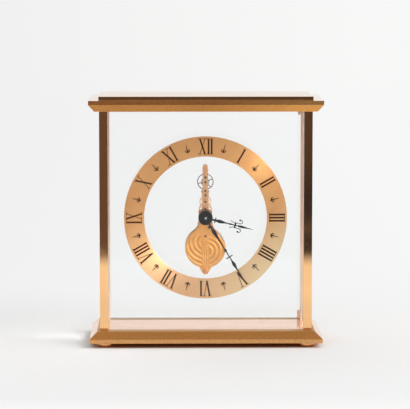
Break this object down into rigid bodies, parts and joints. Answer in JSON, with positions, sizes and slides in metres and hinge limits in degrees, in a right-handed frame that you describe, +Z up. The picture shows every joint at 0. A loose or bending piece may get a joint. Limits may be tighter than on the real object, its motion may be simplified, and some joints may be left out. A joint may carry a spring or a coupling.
{
  "type": "desk clock",
  "caption": "Rectangular brass and glass desk clock with a clear dial plate, a floating chapter ring, black hands and an in-line skeleton movement.",
  "frame": {"origin": "middle of the case's footprint, on the surface that its feet stand on", "axes": "+Z up, dial faces -Y, +X to the right of someone who reads the dial"},
  "size_m": [0.195, 0.086, 0.21],
  "materials": {
    "gilt_case": "polished gilt brass",
    "gilt_brushed": "brushed gilt brass",
    "movement_gilt": "satin gilt brass",
    "case_glass": "clear polished",
    "dial_ink": "dark enamel fill",
    "black_hands": "black, semi-gloss",
    "steel_parts": "polished steel",
    "blued_parts": "blued steel",
    "ruby": "polished jewel"
  },
  "bodies": {
    "case": {"base_plinth": "gilt_case", "bottom_cover": "gilt_case", "feet": "gilt_case", "post_front_left": "gilt_case", "post_front_right": "gilt_case", "post_rear_left": "gilt_case", "post_rear_right": "gilt_case", "cap_plate": "gilt_case", "cap_step": "gilt_case", "case_screws": "steel_parts", "front_glass": "case_glass", "side_glass_left": "case_glass", "side_glass_right": "case_glass", "dial_plate": "case_glass", "chapter_ring": "gilt_brushed", "numerals": "dial_ink", "half_hour_marks": "dial_ink", "ring_nuts": "movement_gilt", "front_bridge": "movement_gilt", "engraved_cover": "movement_gilt", "back_plate": "movement_gilt", "pillars": "movement_gilt", "dial_screws": "movement_gilt", "movement_screws": "blued_parts", "front_jewels": "ruby", "rear_jewels": "ruby", "click_spring": "steel_parts", "hairspring_stud": "steel_parts", "minute_wheel_post": "steel_parts", "hairspring": "blued_parts"},
    "rear_door": {"rear_door_glass": "case_glass", "door_hinge_clips": "gilt_case", "door_knob": "gilt_case"},
    "minute_arbor": {"centre_arbor": "steel_parts", "cannon_pinion": "steel_parts", "minute_hand": "black_hands", "hand_nut": "black_hands", "setting_knob": "movement_gilt"},
    "hour_work": {"hour_wheel": "movement_gilt", "hour_hand": "black_hands"},
    "minute_work": {"minute_wheel": "movement_gilt"},
    "barrel": {"barrel_drum": "movement_gilt", "barrel_cover": "movement_gilt", "mainspring": "steel_parts"},
    "winding_arbor": {"barrel_arbor": "steel_parts", "ratchet_wheel": "steel_parts", "winding_key": "movement_gilt"},
    "click_lever": {"click": "steel_parts"},
    "intermediate": {"intermediate_wheel": "movement_gilt"},
    "centre": {"centre_wheel": "movement_gilt"},
    "third": {"third_wheel": "movement_gilt"},
    "fourth": {"fourth_wheel": "movement_gilt"},
    "escape": {"escape_wheel": "movement_gilt"},
    "pallets": {"pallet_fork": "steel_parts", "pallet_stones": "ruby"},
    "balance": {"balance_wheel": "movement_gilt", "balance_staff": "steel_parts"},
    "index": {"regulator": "blued_parts"}
  },
  "joints": [
    {"name": "rear_door_hinge", "type": "hinge", "parent": "case", "child": "rear_door", "pos_m": [0.0876, 0.03085, 0.1055], "axis": [0, 0, -1], "range_deg": [0, 110]},
    {"name": "set_hands", "type": "hinge", "parent": "case", "child": "minute_arbor", "pos_m": [0, 0, 0.1055], "axis": [0, 1, 0], "continuous": true},
    {"name": "hour_hand_turn", "type": "hinge", "parent": "case", "child": "hour_work", "pos_m": [0, 0, 0.1055], "axis": [0, 1, 0], "continuous": true},
    {"name": "minute_wheel_turn", "type": "hinge", "parent": "case", "child": "minute_work", "pos_m": [0, 0, 0.1021], "axis": [0, 1, 0], "continuous": true},
    {"name": "fourth_wheel_turn", "type": "hinge", "parent": "case", "child": "fourth", "pos_m": [0, 0, 0.1181], "axis": [0, 1, 0], "continuous": true},
    {"name": "escape_wheel_turn", "type": "hinge", "parent": "case", "child": "escape", "pos_m": [0, 0, 0.1236], "axis": [0, 1, 0], "continuous": true},
    {"name": "third_wheel_turn", "type": "hinge", "parent": "case", "child": "third", "pos_m": [0, 0, 0.1119], "axis": [0, 1, 0], "continuous": true},
    {"name": "centre_wheel_turn", "type": "hinge", "parent": "case", "child": "centre", "pos_m": [0, 0, 0.1055], "axis": [0, 1, 0], "continuous": true},
    {"name": "intermediate_wheel_turn", "type": "hinge", "parent": "case", "child": "intermediate", "pos_m": [0, 0, 0.0974], "axis": [0, 1, 0], "continuous": true},
    {"name": "barrel_turn", "type": "hinge", "parent": "case", "child": "barrel", "pos_m": [0, 0, 0.0787], "axis": [0, 1, 0], "continuous": true},
    {"name": "winding", "type": "hinge", "parent": "case", "child": "winding_arbor", "pos_m": [0, 0, 0.0787], "axis": [0, 1, 0], "continuous": true},
    {"name": "click_lift", "type": "hinge", "parent": "case", "child": "click_lever", "pos_m": [0.0109, 0, 0.0863], "axis": [0, -1, 0], "range_deg": [0, 8], "stiffness_Nm_per_rad": 0.00005, "springref_deg": -5.73},
    {"name": "pallet_rock", "type": "hinge", "parent": "case", "child": "pallets", "pos_m": [0, 0, 0.1275], "axis": [0, 1, 0], "range_deg": [-5, 5]},
    {"name": "balance_swing", "type": "hinge", "parent": "case", "child": "balance", "pos_m": [0, 0, 0.135], "axis": [0, 1, 0], "range_deg": [-150, 150], "stiffness_Nm_per_rad": 0.0000004},
    {"name": "regulator_set", "type": "hinge", "parent": "case", "child": "index", "pos_m": [0, 0, 0.135], "axis": [0, 1, 0], "range_deg": [-18, 18]}
  ],
  "couplings": [
    {"joint": "hour_hand_turn", "follows": "set_hands", "ratio": 0.083333},
    {"joint": "minute_wheel_turn", "follows": "set_hands", "ratio": -0.33333},
    {"joint": "escape_wheel_turn", "follows": "fourth_wheel_turn", "ratio": -10},
    {"joint": "third_wheel_turn", "follows": "fourth_wheel_turn", "ratio": -0.13333},
    {"joint": "centre_wheel_turn", "follows": "fourth_wheel_turn", "ratio": 0.016667},
    {"joint": "intermediate_wheel_turn", "follows": "fourth_wheel_turn", "ratio": -0.0037879},
    {"joint": "barrel_turn", "follows": "fourth_wheel_turn", "ratio": 0.00037879}
  ]
}
